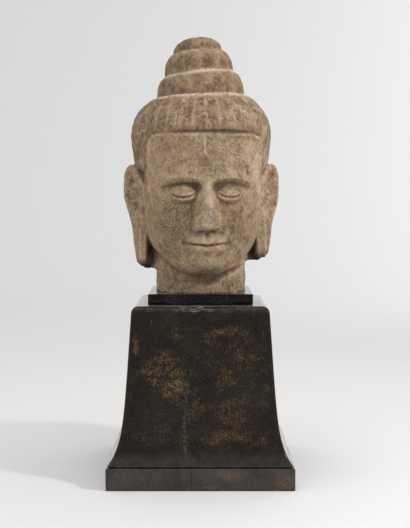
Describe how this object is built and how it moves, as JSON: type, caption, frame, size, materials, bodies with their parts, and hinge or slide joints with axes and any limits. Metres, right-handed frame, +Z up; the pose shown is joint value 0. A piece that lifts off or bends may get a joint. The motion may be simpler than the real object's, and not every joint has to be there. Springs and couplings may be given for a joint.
{
  "type": "stone buddha head on a pedestal",
  "caption": "Carved sandstone head of a buddha with a ringed topknot and long ears, broken off at the neck, standing on a flared black wooden pedestal.",
  "frame": {"origin": "middle of the pedestal's underside, on the surface it stands on", "axes": "+Z up, -Y towards the viewer of the face, +X to the viewer's right"},
  "size_m": [0.246, 0.246, 0.6002],
  "materials": {
    "sandstone": "matte",
    "black_paint": "satin"
  },
  "bodies": {
    "root": {"stone_head": "sandstone", "seat_block": "black_paint", "pedestal_body": "black_paint", "base_slab": "black_paint"}
  },
  "joints": []
}
